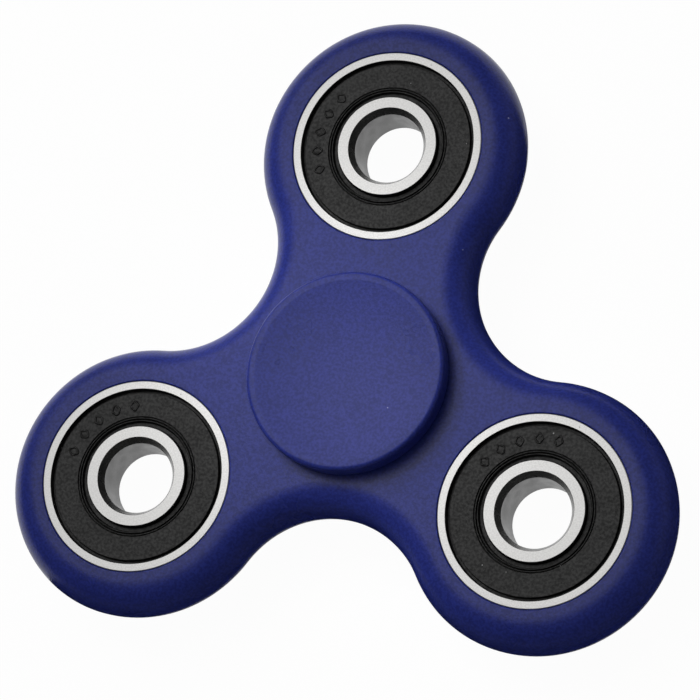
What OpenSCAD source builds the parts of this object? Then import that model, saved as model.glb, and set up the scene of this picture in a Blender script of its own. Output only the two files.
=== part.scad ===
// Three-lobed fidget spinner: a moulded frame that turns on its centre bearing between
// two finger caps, with three more ball bearings pressed into its lobes as weights.
// The origin is the centre of the centre bearing. +Z is the spin axis, out of the front
// cap, and the first lobe points along +Y.

/* [Frame] */
// Distance from the centre to the middle of each lobe
arm_len = 26.8; // [24:0.1:34]
// Radius of the rounded end of each lobe
lobe_r = 15.4; // [13:0.1:20]
// Distance from the centre to the bottom of the hollow between two lobes
waist_r = 15.5; // [13:0.1:19]
// Thickness of the frame
frame_t = 7; // [5:0.1:10]
// Radius that rounds the frame's outer edges
edge_round = 3.5; // [0.5:0.1:5]
// Chamfer at each mouth of the bearing seats
seat_break = 0.15; // [0.05:0.05:0.5]

/* [Bearings] */
// Outside diameter of a bearing
bearing_od = 22; // [20:0.1:27]
// Bore diameter of a bearing
bearing_bore = 8; // [6:0.1:10]
// Width of a bearing
bearing_w = 7; // [6:0.1:9]
// Number of balls in a bearing
ball_count = 7; // [6:1:8]
// Diameter of a ball
ball_d = 3.969; // [3:0.001:4.8]
// Radius of a raceway groove in ball diameters
race_ratio = 0.52; // [0.51:0.005:0.54]
// Depth of a raceway groove in ball radii
race_depth = 0.3; // [0.2:0.05:0.35]
// Width of the outer ring's flat end face
outer_land = 1; // [0.6:0.05:1.4]
// Width of the inner ring's flat end face and its bore chamfer together
inner_land = 1.8; // [1.4:0.05:2.2]
// Bevel at each mouth of the bore, measured across the end face
bore_bevel = 0.6; // [0.2:0.05:0.9]
// Height of that bevel as a share of its width
bevel_slope = 0.8; // [0.6:0.05:1]
// Small chamfer on the other edges of the rings
ring_break = 0.1; // [0.05:0.01:0.3]

/* [Seals] */
// Thickness of a seal's rubber plate
seal_t = 0.6; // [0.4:0.05:0.8]
// How far a seal lies below the rings' end faces
seal_sink = 0.22; // [0.1:0.01:0.5]
// Depth of the groove in the outer ring that holds the seal's bead
snap_depth = 0.25; // [0.1:0.05:0.4]
// Thickness of the seal's bead, which lies in that groove
bead_t = 0.36; // [0.2:0.02:0.38]
// Thickness of the seal's edge at its inner lip
lip_t = 0.2; // [0.1:0.05:0.3]
// Width of the thin lip
lip_w = 0.22; // [0.15:0.01:0.3]
// Number of fine ridges around the lip
ridges = 3; // [1:1:4]
// Distance from one ridge to the next
ridge_pitch = 0.28; // [0.2:0.01:0.3]
// Width of the stepped rim between the seal's flat face and the outer ring
rim_w = 0.62; // [0.6:0.01:0.8]
// Depth of the fine grooves moulded in the seal's face
seal_groove = 0.14; // [0.05:0.01:0.25]
// How far the seal's rubber dips under its flat face at ridges and edges
seal_dip = 0.02; // [0.01:0.01:0.05]
// Hollow under the seal, towards the balls
seal_relief = 0.06; // [0.02:0.01:0.1]

/* [Cages] */
// Thickness of a cage's pressed sheet
cage_t = 0.3; // [0.2:0.05:0.4]
// Width of a cage's sheet ring
cage_w = 1.4; // [1:0.1:1.7]
// Diameter of a rivet's shank
rivet_d = 0.7; // [0.4:0.05:0.9]
// Diameter of a rivet's head
rivet_head_d = 1.2; // [0.9:0.05:1.4]
// Height of a rivet's head
rivet_head_h = 0.2; // [0.1:0.05:0.35]

/* [Finger caps] */
// Diameter of a cap
cap_d = 22.8; // [18:0.1:30]
// Thickness of a cap's disc at its rim
cap_t = 2.25; // [1.6:0.05:4]
// Radius that rounds the cap's outer rim
cap_edge = 0.7; // [0.2:0.05:1]
// Width of the flat land between the rounded rim and the dish
cap_land = 0.3; // [0.1:0.05:1]
// Depth of the finger dish in the middle
dish_depth = 0.75; // [0.2:0.05:1]
// Length of the stem that is pressed into the centre bore
stem_len = 3.2; // [2:0.1:3.3]
// Chamfer at the stem's tip
stem_tip = 0.4; // [0.1:0.05:0.8]

/* [Clearances] */
// Radial clearance between a bearing and its seat
seat_fit = 0.01; // [0:0.01:0.05]
// Radial clearance between a stem and the centre bore
stem_fit = 0.01; // [0:0.01:0.05]
// Gap between a ball and the bottom of each raceway
race_gap = 0.04; // [0.03:0.01:0.08]
// Gap between a ball and its cage pocket
pocket_gap = 0.12; // [0.05:0.01:0.2]
// Gap between a seal's lip and the turning inner ring
lip_gap = 0.08; // [0.04:0.01:0.15]
// Gap between the turning frame and the underside of a cap
cap_gap = 0.35; // [0.2:0.05:0.8]
// Radial clearance between a seal's bead and the groove that holds it
bead_gap = 0.03; // [0.01:0.01:0.05]
// Radial clearance between a rivet and its hole
rivet_fit = 0.01; // [0:0.01:0.03]

/* [Hidden] */
$fn = 96;
BLUE = [0.20, 0.21, 0.42];
STEEL = [0.82, 0.82, 0.83];
RUBBER = [0.14, 0.14, 0.15];

// Frame outline: each lobe is an arc about its bearing, and each hollow is an arc
// tangent to the lobes on both sides whose bottom lies waist_r from the centre. The
// lobe centres and hollow centres are the corners of one hexagon, and the arcs change
// over on its sides.
lobes = 3;
half_step = 180 / lobes;
lobe_across = arm_len * sin(half_step);
waist_rise = waist_r - arm_len * cos(half_step);
hollow_r = (waist_rise ^ 2 + lobe_across ^ 2 - lobe_r ^ 2) / (2 * (lobe_r - waist_rise));
function spoke(k, reach) = let(turn = 90 + k * half_step) [reach * cos(turn), reach * sin(turn)];
lobe_at = [for (k = [0:lobes - 1]) spoke(2 * k, arm_len)];
hollow_at = [for (k = [0:lobes - 1]) spoke(2 * k + 1, waist_r + hollow_r)];
hexagon = [for (k = [0:lobes - 1], corner = [lobe_at[k], hollow_at[k]]) corner];
edge_r = min(edge_round, frame_t / 2);
edge_flat = frame_t - 2 * edge_r;

// Bearing sections, as radii from the bearing's axis and heights above its middle
end_z = bearing_w / 2;
outer_r = bearing_od / 2;
bore_r = bearing_bore / 2;
mouth_r = outer_r - outer_land;
nose_r = bore_r + inner_land;
pitch_r = (outer_r + bore_r) / 2;
ball_r = ball_d / 2;
race_r = race_ratio * ball_d;
ball_run = ball_r + race_gap;
groove_depth = race_depth * ball_r;
inner_shoulder_r = pitch_r - ball_run + groove_depth;
outer_shoulder_r = pitch_r + ball_run - groove_depth;
seal_top = end_z - seal_sink;
seal_base = seal_top - seal_t;
snap_top = seal_base + bead_t;
bevel_h = bevel_slope * bore_bevel;
overcut = 1;

// The caps clear whichever is thicker, the frame or the bearing
cap_base = max(frame_t, bearing_w) / 2 + cap_gap;
cap_top = cap_base + cap_t;
cap_r = cap_d / 2;

// Where each bearing sits
STATIONS = ["centre", "arm1", "arm2", "arm3"];
station_at = concat([[0, 0]], lobe_at);

RING_PIECES = ["outer_ring", "inner_ring", "front_seal", "back_seal", "cage_front",
               "cage_back", "cage_rivets"];

// Moves its children to the place of bearing k
module at_station(k) {
    translate(station_at[k]) children();
}

// Moves its children to place i of the ball circle, or between two balls for i + 0.5
module at_ball(i) {
    rotate(90 + i * 360 / ball_count) translate([pitch_r, 0, 0]) children();
}

// Half-round end of the plate's section, from x = 0 to x = edge_r
module edge_end() {
    intersection() {
        for (side = [-1, 1]) translate([0, side * edge_flat / 2]) circle(edge_r);
        translate([0, -frame_t]) square([frame_t, 2 * frame_t]);
    }
    if (edge_flat > 0) translate([0, -edge_flat / 2]) square([edge_r, edge_flat]);
}

// The hexagon as a prism as thick as the frame
module web() {
    linear_extrude(frame_t, center = true) polygon(hexagon);
}

// One lobe: a plate with a rounded rim, outside the hexagon
module lobe(k) {
    difference() {
        translate(lobe_at[k]) rotate_extrude() {
            translate([0, -frame_t / 2]) square([lobe_r - edge_r, frame_t]);
            translate([lobe_r - edge_r, 0]) edge_end();
        }
        web();
    }
}

// Rounded edge of one hollow, inside the hexagon
module hollow_edge(k) {
    intersection() {
        translate(hollow_at[k]) rotate_extrude()
            translate([hollow_r + edge_r, 0]) mirror([1, 0]) edge_end();
        web();
    }
}

// Through seat for one bearing, with a chamfered mouth on each face
module bearing_seat() {
    seat_r = outer_r + seat_fit;
    cylinder(h = frame_t + 2 * overcut, r = seat_r, center = true);
    for (side = [0, 1]) mirror([0, 0, side])
        translate([0, 0, frame_t / 2 - seat_break])
            cylinder(h = 2 * seat_break, r1 = seat_r, r2 = seat_r + 2 * seat_break);
}

// The moulded frame
module frame() {
    color(BLUE) difference() {
        union() {
            difference() {
                web();
                for (at = hollow_at)
                    translate(at) cylinder(h = 2 * frame_t, r = hollow_r + edge_r, center = true);
            }
            for (k = [0:lobes - 1]) {
                lobe(k);
                hollow_edge(k);
            }
        }
        for (k = [0:lobes]) at_station(k) bearing_seat();
    }
}

// Section of a finger cap, from its axis outwards
module cap_section() {
    stem_r = bore_r - stem_fit;
    boss_r = nose_r - ring_break;
    translate([0, cap_base]) square([cap_r - cap_edge, cap_t]);
    translate([0, cap_base]) square([cap_r, cap_t - cap_edge]);
    intersection() {
        translate([cap_r - cap_edge, cap_top - cap_edge]) circle(cap_edge);
        translate([cap_r - cap_edge, cap_top - cap_edge]) square(2 * cap_edge);
    }
    translate([0, end_z]) square([boss_r, cap_base - end_z]);
    polygon([[0, end_z], [0, end_z - stem_len], [stem_r - stem_tip, end_z - stem_len],
             [stem_r, end_z - stem_len + stem_tip], [stem_r, end_z]]);
}

// A finger cap: a dished disc with a boss that bears on the inner ring and a press stem
module finger_cap() {
    dish_r = cap_r - cap_edge - cap_land;
    ball_of_dish = (dish_r ^ 2 + dish_depth ^ 2) / (2 * dish_depth);
    color(BLUE) difference() {
        rotate_extrude() cap_section();
        translate([0, 0, cap_top - dish_depth + ball_of_dish]) sphere(ball_of_dish, $fn = 360);
    }
}

// Outer ring: raceway inside, and at each end a step and a snap groove for the seal
module outer_ring() {
    snap_r = mouth_r + snap_depth;
    upper = [[outer_shoulder_r, seal_base], [snap_r, seal_base], [snap_r, snap_top],
             [mouth_r, snap_top], [mouth_r, end_z - ring_break], [mouth_r + ring_break, end_z],
             [outer_r - ring_break, end_z], [outer_r, end_z - ring_break]];
    lower = [for (i = [len(upper) - 1:-1:0]) [upper[i][0], -upper[i][1]]];
    color(STEEL) rotate_extrude() difference() {
        polygon(concat(upper, lower));
        translate([pitch_r + ball_run - race_r, 0]) circle(race_r);
    }
}

// Inner ring: raceway outside, a smaller nose under each seal's lip, and a bevelled bore
module inner_ring() {
    upper = [[inner_shoulder_r, seal_base - lip_gap], [nose_r, seal_base - lip_gap],
             [nose_r, end_z - ring_break], [nose_r - ring_break, end_z],
             [bore_r + bore_bevel, end_z], [bore_r, end_z - bevel_h]];
    lower = [for (i = [len(upper) - 1:-1:0]) [upper[i][0], -upper[i][1]]];
    color(STEEL) rotate_extrude() difference() {
        polygon(concat(upper, lower));
        translate([pitch_r - ball_run + race_r, 0]) circle(race_r);
    }
}

// Seal: rubber plate with a bead in the outer ring's groove, a grooved face and a thin lip
module seal() {
    lip_r = nose_r + lip_gap;
    fold_r = lip_r + lip_w;
    face_r = fold_r + ridges * ridge_pitch;
    rim_r = mouth_r - rim_w;
    bead_r = mouth_r + snap_depth - bead_gap;
    crest = seal_top - seal_dip;
    trough = seal_top - seal_groove;
    shelf = snap_top - seal_dip;
    lip = [[lip_r, seal_base + lip_t], [lip_r, trough], [fold_r, trough]];
    ridge = [[1 / 4, crest], [5 / 8, crest], [7 / 8, trough]];
    ridge_row = [for (i = [0:ridges - 1], p = ridge) [fold_r + (i + p[0]) * ridge_pitch, p[1]]];
    // The rim's steps lie at these shares of its width: groove, raised line and outer slope
    step = [[0, seal_top], [1 / 10, trough], [2 / 10, trough], [3 / 10, crest], [6 / 10, crest],
            [3 / 4, shelf]];
    rim = [for (p = step) [rim_r + p[0] * rim_w, p[1]]];
    bead = [[bead_r, shelf], [bead_r, seal_base], [outer_shoulder_r, seal_base]];
    under = [[outer_shoulder_r - seal_relief, seal_base + seal_relief],
             [fold_r, seal_base + seal_relief]];
    color(RUBBER) rotate_extrude() polygon(concat(lip, ridge_row, [[face_r + seal_dip, seal_top]],
                                                  rim, bead, under));
}

// Front half of a cage: a flat ring with a round pocket over each ball
module cage_half() {
    pocket_r = ball_r + pocket_gap;
    color(STEEL) difference() {
        intersection() {
            union() {
                cylinder(h = cage_t, r = outer_r);
                for (i = [0:ball_count - 1]) at_ball(i) sphere(pocket_r + cage_t);
            }
            difference() {
                cylinder(h = bearing_w, r = pitch_r + cage_w / 2);
                translate([0, 0, -overcut]) cylinder(h = bearing_w + 2 * overcut, r = pitch_r - cage_w / 2);
            }
        }
        for (i = [0:ball_count - 1]) {
            at_ball(i) sphere(pocket_r);
            at_ball(i + 0.5) cylinder(h = 4 * cage_t, d = rivet_d, center = true);
        }
    }
}

// The rivets that hold a cage's halves together, one between each two balls
module cage_rivets() {
    color(STEEL) for (i = [0:ball_count - 1]) at_ball(i + 0.5) {
        cylinder(h = 2 * (cage_t + rivet_head_h), d = rivet_d - 2 * rivet_fit, center = true);
        for (side = [0, 1]) mirror([0, 0, side])
            translate([0, 0, cage_t]) cylinder(h = rivet_head_h, d = rivet_head_d);
    }
}

module ball() {
    color(STEEL) sphere(ball_r);
}

frame();
finger_cap();  // front_cap
mirror([0, 0, 1]) finger_cap();  // back_cap
for (k = [0:lobes]) at_station(k) {
    name = STATIONS[k];
    outer_ring();
    inner_ring();
    seal();
    mirror([0, 0, 1]) seal();
    cage_half();
    mirror([0, 0, 1]) cage_half();
    cage_rivets();
    for (i = [1:ball_count])
        at_ball(i - 1) ball();
}
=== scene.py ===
"""Looks of a three-lobed hand spinner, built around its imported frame.

The moulded frame, the finger caps, the rings and seals of the lobe bearings are rebuilt here
as fine meshes that stand for their plain counterparts. The hidden cages, rivets, balls and the
centre bearing keep their shapes and get their finishes. All sizes are in metres.
"""

import logging
import math
from collections.abc import Callable, Sequence
from dataclasses import dataclass
from enum import Enum, IntEnum

import bpy
from mathutils import Matrix, Vector
from mathutils.geometry import delaunay_2d_cdt


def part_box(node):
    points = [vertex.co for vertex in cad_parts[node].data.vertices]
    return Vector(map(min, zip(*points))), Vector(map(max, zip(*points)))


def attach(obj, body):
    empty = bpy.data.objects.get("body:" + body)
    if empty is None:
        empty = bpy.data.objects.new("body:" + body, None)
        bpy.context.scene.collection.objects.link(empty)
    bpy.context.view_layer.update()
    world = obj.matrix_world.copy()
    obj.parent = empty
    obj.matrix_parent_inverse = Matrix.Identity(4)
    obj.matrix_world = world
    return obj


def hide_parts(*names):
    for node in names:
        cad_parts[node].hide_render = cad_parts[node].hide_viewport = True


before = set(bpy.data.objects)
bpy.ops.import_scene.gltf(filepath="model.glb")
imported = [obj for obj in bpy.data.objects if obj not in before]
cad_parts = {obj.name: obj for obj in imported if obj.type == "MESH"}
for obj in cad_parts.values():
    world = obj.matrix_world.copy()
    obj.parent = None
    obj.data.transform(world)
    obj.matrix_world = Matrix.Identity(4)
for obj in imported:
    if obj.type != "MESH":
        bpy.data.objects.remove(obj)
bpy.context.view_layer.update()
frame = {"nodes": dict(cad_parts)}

log = logging.getLogger("spinner")

MM = 0.001
# Where the row of marks starts on the seals of lobes 1, 2 and 3, in degrees.
# The seals were pressed in at any turn.
MARKS_STARTS = (140.0, 101.0, 79.0)

# The values between which a noise texture mostly stays.
NOISE_RANGE = (0.3, 0.7)

Socket = bpy.types.NodeSocket
Value = float | tuple[float, ...] | Socket


class Slot(Enum):
    """The record's material slots, one for each kind of fine piece."""

    FRAME = "frame_plastic"
    CAP = "cap_plastic"
    BEARING = "bearing_steel"
    SEAL = "seal_rubber"


class Side(IntEnum):
    """Which face of the spinner a piece is on, as the sign of its height."""

    FRONT = 1
    BACK = -1

    @property
    def word(self) -> str:
        """The side's name, as the pieces carry it."""
        return self.name.lower()


# ---------------------------------------------------------------- sizes taken from the frame


@dataclass(frozen=True)
class Layout:
    """The sizes that every sub-assembly shares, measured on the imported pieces.

    Attributes:
        arm: Distance from the spinner's middle to a lobe's middle.
        lobe_r: Outer radius of a lobe.
        frame_half: Half the frame's thickness.
        ring_r: Outer radius of a bearing.
        ring_half: Half the bearing's width.
        cap_r: Radius of a finger cap.
        cap_top: Height of a cap's rim above the mid-plane.
        bore_r: Radius of the bearing's bore, which no box shows.
        lobes: Number of lobes.
    """

    arm: float
    lobe_r: float
    frame_half: float
    ring_r: float
    ring_half: float
    cap_r: float
    cap_top: float
    bore_r: float = 4.0 * MM
    lobes: int = 3

    @classmethod
    def measured(cls) -> "Layout":
        """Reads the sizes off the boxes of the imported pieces."""
        ring_low, ring_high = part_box("arm1_outer_ring")
        frame_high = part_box("frame")[1]
        cap_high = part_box("front_cap")[1]
        arm = (ring_low.y + ring_high.y) / 2
        return cls(
            arm=arm,
            lobe_r=frame_high.y - arm,
            frame_half=frame_high.z,
            ring_r=ring_high.x,
            ring_half=ring_high.z,
            cap_r=cap_high.x,
            cap_top=cap_high.z,
        )

    def spoke(self, turn: float, reach: float) -> Vector:
        """The point at a distance from the centre, turned by degrees from the first lobe."""
        angle = math.radians(90 + turn)
        return Vector((reach * math.cos(angle), reach * math.sin(angle)))

    def station(self, lobe: int) -> Vector:
        """The middle of lobe 1, 2 or 3."""
        return self.spoke((lobe - 1) * 360 / self.lobes, self.arm)


# ---------------------------------------------------------------- meshes


@dataclass(frozen=True)
class Corner:
    """A corner of a turned section.

    Attributes:
        r: Radius from the axis.
        z: Height.
        fillet: Radius that rounds the corner, or 0 for a point on a smooth curve.
        slot: Material slot of the surface that follows the corner.
    """

    r: float
    z: float
    fillet: float = 0.0
    slot: int = 0


@dataclass(frozen=True)
class Spot:
    """A point of a sampled section, with its outward normal and its material slot."""

    r: float
    z: float
    nr: float
    nz: float
    slot: int


def arc_corners(centre: tuple[float, float], radius: float, start: float, end: float,
                steps: int, slot: int = 0) -> list[Corner]:
    """Samples an arc as smooth corners.

    Args:
        centre: Radius and height of the arc's centre.
        radius: Radius of the arc.
        start: First angle in degrees, from the outward direction towards +Z.
        end: Last angle in degrees.
        steps: Number of segments.
        slot: Material slot of the surface.

    Returns:
        The corners from start to end.
    """
    angles = [math.radians(start + (end - start) * i / steps) for i in range(steps + 1)]
    return [Corner(centre[0] + radius * math.cos(a), centre[1] + radius * math.sin(a), 0.0, slot)
            for a in angles]


class Section:
    """Half section of a turned piece, walked with the material on the left."""

    COARSE_STEP = math.radians(15)
    FINE_STEP = math.radians(6)
    FINE_FROM = 0.4 * MM
    FILLET_SHARE = 0.49
    STRAIGHT = 1e-3

    def __init__(self, corners: Sequence[Corner], closed: bool = True) -> None:
        """Keeps the corners.

        Args:
            corners: The section's corners in order.
            closed: Whether the last corner joins the first, or both ends are on the axis.
        """
        self.corners = list(corners)
        self.closed = closed

    def spots(self) -> list[Spot]:
        """Samples the section.

        Returns:
            Its points with outward normals, fillets included.
        """
        count = len(self.corners)
        found: list[Spot] = []
        for i, corner in enumerate(self.corners):
            here = Vector((corner.r, corner.z))
            before = self.corners[i - 1] if self.closed or i > 0 else None
            after = self.corners[(i + 1) % count] if self.closed or i < count - 1 else None
            if before is None or after is None:
                found.append(Spot(corner.r, corner.z, 0.0, -1.0 if before is None else 1.0, corner.slot))
                continue
            arriving = here - Vector((before.r, before.z))
            leaving = Vector((after.r, after.z)) - here
            found += self._corner_spots(corner, here, arriving, leaving)
        return found

    def _corner_spots(self, corner: Corner, here: Vector, arriving: Vector,
                      leaving: Vector) -> list[Spot]:
        """Samples one corner.

        Args:
            corner: The corner.
            here: Its place.
            arriving: The stretch that ends at it.
            leaving: The stretch that starts at it.

        Returns:
            One spot for a smooth corner, or the spots of its fillet.
        """
        into, out = arriving.normalized(), leaving.normalized()
        turn = math.atan2(into.cross(out), into.dot(out))
        if corner.fillet <= 0 or abs(turn) < self.STRAIGHT:
            along = (into + out).normalized()
            return [Spot(corner.r, corner.z, along.y, -along.x, corner.slot)]
        half = math.tan(abs(turn) / 2)
        run = min(corner.fillet * half, self.FILLET_SHARE * min(arriving.length, leaving.length))
        radius = run / half
        inward = Vector((-into.y, into.x)) * math.copysign(1.0, turn)
        centre = here - into * run + inward * radius
        step = self.FINE_STEP if radius > self.FINE_FROM else self.COARSE_STEP
        steps = max(2, round(abs(turn) / step))
        made = []
        for k in range(steps + 1):
            angle = turn * k / steps
            cos, sin = math.cos(angle), math.sin(angle)
            arm = Vector((-inward.x * cos + inward.y * sin, -inward.x * sin - inward.y * cos))
            normal = arm * math.copysign(1.0, turn)
            place = centre + arm * radius
            made.append(Spot(place.x, place.y, normal.x, normal.y, corner.slot))
        return made


class PieceMesh:
    """The points, normals and faces of one piece, gathered before Blender gets them."""

    SEGMENTS = 192

    def __init__(self) -> None:
        """Starts an empty piece."""
        self.points: list[tuple[float, float, float]] = []
        self.normals: list[tuple[float, float, float]] = []
        self.faces: list[tuple[int, ...]] = []
        self.slots: list[int] = []

    def add_point(self, place: Sequence[float], normal: Sequence[float]) -> int:
        """Adds a point and gives its number."""
        self.points.append(tuple(place))
        self.normals.append(tuple(normal))
        return len(self.points) - 1

    def add_face(self, corners: Sequence[int], slot: int = 0) -> None:
        """Adds a face with its material slot."""
        self.faces.append(tuple(corners))
        self.slots.append(slot)

    def add_strips(self, rows: Sequence[Sequence[int]], slots: Sequence[int], wrap_rows: bool) -> None:
        """Joins closed loops of points with quads.

        Args:
            rows: Loops of as many points each, every loop closed on itself.
            slots: Material slot of the strip that follows each loop.
            wrap_rows: Whether the last loop joins the first.
        """
        around = len(rows[0])
        last = len(rows) if wrap_rows else len(rows) - 1
        for i in range(last):
            here, there = rows[i], rows[(i + 1) % len(rows)]
            for j in range(around):
                k = (j + 1) % around
                self.add_face((here[j], here[k], there[k], there[j]), slots[i])

    def add_rings(self, spots: Sequence[Spot], centre: Vector, side: Side = Side.FRONT) -> list[list[int]]:
        """Turns spots about an upright axis.

        Args:
            spots: The spots, as they are on the front side.
            centre: Where the axis stands.
            side: The back side mirrors the spots in height.

        Returns:
            One closed loop of points for each spot.
        """
        turns = [2 * math.pi * j / self.SEGMENTS for j in range(self.SEGMENTS)]
        return [[self.add_point((centre.x + s.r * math.cos(a), centre.y + s.r * math.sin(a), side * s.z),
                                (s.nr * math.cos(a), s.nr * math.sin(a), side * s.nz)) for a in turns]
                for s in spots]

    def revolve(self, section: Section, centre: Vector, side: Side = Side.FRONT) -> None:
        """Turns a section about an upright axis.

        Args:
            section: The half section, as it is on the front side.
            centre: Where the axis stands.
            side: The back side mirrors the section in height.
        """
        spots = section.spots()
        first = len(self.faces)
        ringed = spots if section.closed else spots[1:-1]
        rows = self.add_rings(ringed, centre, side)
        self.add_strips(rows, [s.slot for s in ringed], section.closed)
        tips = () if section.closed else ((spots[0], rows[0][::-1]), (spots[-1], rows[-1]))
        for spot, row in tips:
            tip = self.add_point((centre.x, centre.y, side * spot.z), (0, 0, side * spot.nz))
            for j in range(self.SEGMENTS):
                self.add_face((tip, row[j], row[(j + 1) % self.SEGMENTS]), spot.slot)
        if side is Side.BACK:
            self.faces[first:] = [face[::-1] for face in self.faces[first:]]

    def to_object(self, name: str, finishes: Sequence[bpy.types.Material]) -> bpy.types.Object:
        """Makes the Blender object.

        Args:
            name: The piece's name.
            finishes: One material for each slot.

        Returns:
            The object, at the origin with its place in its mesh.
        """
        mesh = bpy.data.meshes.new(name)
        mesh.from_pydata(self.points, [], self.faces)
        for finish in finishes:
            mesh.materials.append(finish)
        mesh.polygons.foreach_set("use_smooth", [True] * len(mesh.polygons))
        mesh.polygons.foreach_set("material_index", self.slots)
        mesh.normals_split_custom_set_from_vertices(self.normals)
        mesh.update()
        piece = bpy.data.objects.new(name, mesh)
        bpy.context.scene.collection.objects.link(piece)
        return piece


def place_piece(piece: bpy.types.Object, body: str, slot: Slot, *nodes: str) -> None:
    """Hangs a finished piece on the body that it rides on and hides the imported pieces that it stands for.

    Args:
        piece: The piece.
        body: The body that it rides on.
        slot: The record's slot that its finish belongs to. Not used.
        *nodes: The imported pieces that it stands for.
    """
    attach(piece, body)
    if nodes:
        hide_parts(*nodes)
    log.info("%s rides on %s with %d faces", piece.name, body, len(piece.data.polygons))


# ---------------------------------------------------------------- shader building


class Bench:
    """A node tree under construction, for a material or for a node group."""

    def __init__(self, tree: bpy.types.NodeTree) -> None:
        """Keeps the tree."""
        self.tree = tree

    def add(self, kind: str, inputs: dict[str | int, Value] | None = None,
            **settings: object) -> bpy.types.Node:
        """Adds a node.

        Args:
            kind: The node's type.
            inputs: Numbers, or sockets to link, by input name or number.
            **settings: The node's own settings.

        Returns:
            The node.
        """
        node = self.tree.nodes.new(kind)
        for name, setting in settings.items():
            setattr(node, name, setting)
        for name, value in (inputs or {}).items():
            self.feed(node.inputs[name], value)
        return node

    def feed(self, target: Socket, value: Value) -> None:
        """Links a socket to an input, or sets the input's number."""
        if isinstance(value, Socket):
            self.tree.links.new(value, target)
        else:
            target.default_value = value

    def math(self, operation: str, *values: Value) -> Socket:
        """Adds a Math node and gives its result."""
        node = self.add("ShaderNodeMath", dict(enumerate(values)), operation=operation)
        return node.outputs[0]

    def vector(self, operation: str, inputs: dict[str | int, Value], output: str = "Vector") -> Socket:
        """Adds a Vector Math node and gives its result."""
        return self.add("ShaderNodeVectorMath", inputs, operation=operation).outputs[output]

    def remap(self, value: Value, low: Value, high: Value, to_low: Value, to_high: Value) -> Socket:
        """Maps a value smoothly from one range to another and gives the clamped result."""
        node = self.add("ShaderNodeMapRange", {0: value, 1: low, 2: high, 3: to_low, 4: to_high},
                        interpolation_type="SMOOTHSTEP")
        return node.outputs[0]

    def mix(self, share: Value, first: Value, second: Value) -> Socket:
        """Mixes two colours and gives the result."""
        node = self.add("ShaderNodeMix", {"Factor": share}, data_type="RGBA")
        self.feed(node.inputs[6], first)
        self.feed(node.inputs[7], second)
        return node.outputs[2]

    def noise(self, vector: Value, scale: float, detail: float, roughness: float = 0.5) -> Socket:
        """Adds a noise texture and gives its value."""
        node = self.add("ShaderNodeTexNoise", {"Vector": vector, "Scale": scale, "Detail": detail,
                                               "Roughness": roughness})
        return node.outputs[0]


class Effect:
    """A shader node group with named inputs and outputs, built once and used by many finishes."""

    built: dict[str, bpy.types.NodeTree] = {}

    def __init__(self, name: str, inputs: dict[str, float | None], outputs: Sequence[str],
                 draw: Callable[[Bench, dict[str, Socket]], dict[str, Socket]]) -> None:
        """Describes the group.

        Args:
            name: The group's name.
            inputs: Its inputs with their defaults, and None for a vector.
            outputs: Its outputs, which are all values.
            draw: Builds the nodes from the input sockets and gives the output sockets.
        """
        self.name, self.inputs, self.outputs, self.draw = name, inputs, outputs, draw

    def tree(self) -> bpy.types.NodeTree:
        """Builds the group the first time.

        Returns:
            The group's tree.
        """
        if self.name in self.built:
            return self.built[self.name]
        tree = bpy.data.node_groups.new(self.name, "ShaderNodeTree")
        for name, default in self.inputs.items():
            kind = "NodeSocketVector" if default is None else "NodeSocketFloat"
            socket = tree.interface.new_socket(name, in_out="INPUT", socket_type=kind)
            if default is not None:
                socket.default_value = default
        for name in self.outputs:
            tree.interface.new_socket(name, in_out="OUTPUT", socket_type="NodeSocketFloat")
        bench = Bench(tree)
        entry, leave = bench.add("NodeGroupInput"), bench.add("NodeGroupOutput")
        made = self.draw(bench, {name: entry.outputs[name] for name in self.inputs})
        for name, socket in made.items():
            bench.feed(leave.inputs[name], socket)
        self.built[self.name] = tree
        return tree

    def use(self, bench: Bench, **inputs: Value) -> dict[str, Socket]:
        """Places the group in a tree.

        Args:
            bench: The tree that gets it.
            **inputs: Values by input name.

        Returns:
            The group's output sockets by name.
        """
        node = bench.add("ShaderNodeGroup", node_tree=self.tree())
        for name, value in inputs.items():
            bench.feed(node.inputs[name], value)
        return {name: node.outputs[name] for name in self.outputs}


def shrink(bench: Bench, place: Socket, size: Socket) -> Socket:
    """Scales coordinates so that a pattern's features get a size."""
    return bench.vector("SCALE", {0: place, "Scale": bench.math("DIVIDE", 1.0, size)})


def spread(bench: Bench, noise: Socket) -> Socket:
    """Stretches a noise's usual values to the range from -1 to 1."""
    return bench.remap(noise, *NOISE_RANGE, -1.0, 1.0)


def draw_grain(bench: Bench, given: dict[str, Socket]) -> dict[str, Socket]:
    """Builds an eroded mould texture: fine noise broken up by a coarser one."""
    shrunk = shrink(bench, given["Vector"], given["Size"])
    fine = bench.noise(shrunk, scale=1.0, detail=1.5, roughness=0.6)
    coarse = bench.noise(shrunk, scale=0.31, detail=2.0)
    height = bench.math("ADD", bench.math("MULTIPLY", fine, 0.7), bench.math("MULTIPLY", coarse, 0.3))
    tone = spread(bench, bench.noise(shrunk, scale=0.8, detail=1.0))
    return {"Height": height, "Tone": bench.math("MULTIPLY", tone, given["Contrast"])}


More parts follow.
